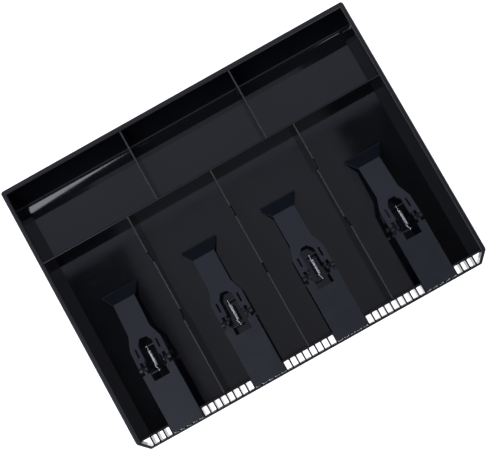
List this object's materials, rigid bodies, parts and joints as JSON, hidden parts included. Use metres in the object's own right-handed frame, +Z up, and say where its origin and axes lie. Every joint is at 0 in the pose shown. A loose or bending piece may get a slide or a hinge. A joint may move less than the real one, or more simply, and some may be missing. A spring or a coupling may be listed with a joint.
{
  "type": "cash drawer tray",
  "caption": "Flat till insert tray with scooped coin bays, long bill bays, and sprung bill clips plugged into a slotted comb along the front edge.",
  "frame": {"origin": "middle of the tray's outline, on the surface that it stands on", "axes": "+Z up, +Y towards the coin bays at the back, +X to the right seen from the comb side"},
  "size_m": [0.325, 0.245, 0.036],
  "materials": {
    "tray_abs": "glossy injection-moulded black ABS",
    "clip_abs": "satin moulded black ABS",
    "pin_steel": "blackened steel wire, cut and tumbled",
    "spring_steel": "bright zinc-plated spring wire"
  },
  "bodies": {
    "tray": {"tray_shell": "tray_abs", "front_rail": "tray_abs", "comb_ribs": "tray_abs", "cross_divider": "tray_abs", "coin_divider_1": "tray_abs", "coin_divider_2": "tray_abs", "bill_divider_1": "tray_abs", "bill_divider_2": "tray_abs", "bill_divider_3": "tray_abs", "clip_1_base": "clip_abs", "clip_2_base": "clip_abs", "clip_3_base": "clip_abs", "clip_4_base": "clip_abs"},
    "arm_1": {"clip_1_arm": "clip_abs", "clip_1_pin_left": "pin_steel", "clip_1_pin_right": "pin_steel"},
    "spring_1": {"clip_1_spring": "spring_steel"},
    "arm_2": {"clip_2_arm": "clip_abs", "clip_2_pin_left": "pin_steel", "clip_2_pin_right": "pin_steel"},
    "spring_2": {"clip_2_spring": "spring_steel"},
    "arm_3": {"clip_3_arm": "clip_abs", "clip_3_pin_left": "pin_steel", "clip_3_pin_right": "pin_steel"},
    "spring_3": {"clip_3_spring": "spring_steel"},
    "arm_4": {"clip_4_arm": "clip_abs", "clip_4_pin_left": "pin_steel", "clip_4_pin_right": "pin_steel"},
    "spring_4": {"clip_4_spring": "spring_steel"}
  },
  "joints": [
    {"name": "clip_1_lift", "type": "hinge", "parent": "tray", "child": "arm_1", "pos_m": [-0.1176, -0.0635, 0.0336], "axis": [1, 0, 0], "range_deg": [0, 84.7], "stiffness_Nm_per_rad": 0.06, "springref_deg": -45.84},
    {"name": "clip_1_spring_swing", "type": "hinge", "parent": "tray", "child": "spring_1", "pos_m": [-0.1176, -0.0693, 0.0316], "axis": [1, 0, 0], "range_deg": [0, 64], "deforming": ["clip_1_spring"]},
    {"name": "clip_2_lift", "type": "hinge", "parent": "tray", "child": "arm_2", "pos_m": [-0.04116, -0.0635, 0.0336], "axis": [1, 0, 0], "range_deg": [0, 84.7], "stiffness_Nm_per_rad": 0.06, "springref_deg": -45.84},
    {"name": "clip_2_spring_swing", "type": "hinge", "parent": "tray", "child": "spring_2", "pos_m": [-0.04116, -0.0693, 0.0316], "axis": [1, 0, 0], "range_deg": [0, 64], "deforming": ["clip_2_spring"]},
    {"name": "clip_3_lift", "type": "hinge", "parent": "tray", "child": "arm_3", "pos_m": [0.03528, -0.0635, 0.0336], "axis": [1, 0, 0], "range_deg": [0, 84.7], "stiffness_Nm_per_rad": 0.06, "springref_deg": -45.84},
    {"name": "clip_3_spring_swing", "type": "hinge", "parent": "tray", "child": "spring_3", "pos_m": [0.03528, -0.0693, 0.0316], "axis": [1, 0, 0], "range_deg": [0, 64], "deforming": ["clip_3_spring"]},
    {"name": "clip_4_lift", "type": "hinge", "parent": "tray", "child": "arm_4", "pos_m": [0.1176, -0.0635, 0.0336], "axis": [1, 0, 0], "range_deg": [0, 84.7], "stiffness_Nm_per_rad": 0.06, "springref_deg": -45.84},
    {"name": "clip_4_spring_swing", "type": "hinge", "parent": "tray", "child": "spring_4", "pos_m": [0.1176, -0.0693, 0.0316], "axis": [1, 0, 0], "range_deg": [0, 64], "deforming": ["clip_4_spring"]}
  ],
  "couplings": [
    {"joint": "clip_1_spring_swing", "follows": "clip_1_lift", "ratio": 0.7432},
    {"joint": "clip_2_spring_swing", "follows": "clip_2_lift", "ratio": 0.7432},
    {"joint": "clip_3_spring_swing", "follows": "clip_3_lift", "ratio": 0.7432},
    {"joint": "clip_4_spring_swing", "follows": "clip_4_lift", "ratio": 0.7432}
  ]
}
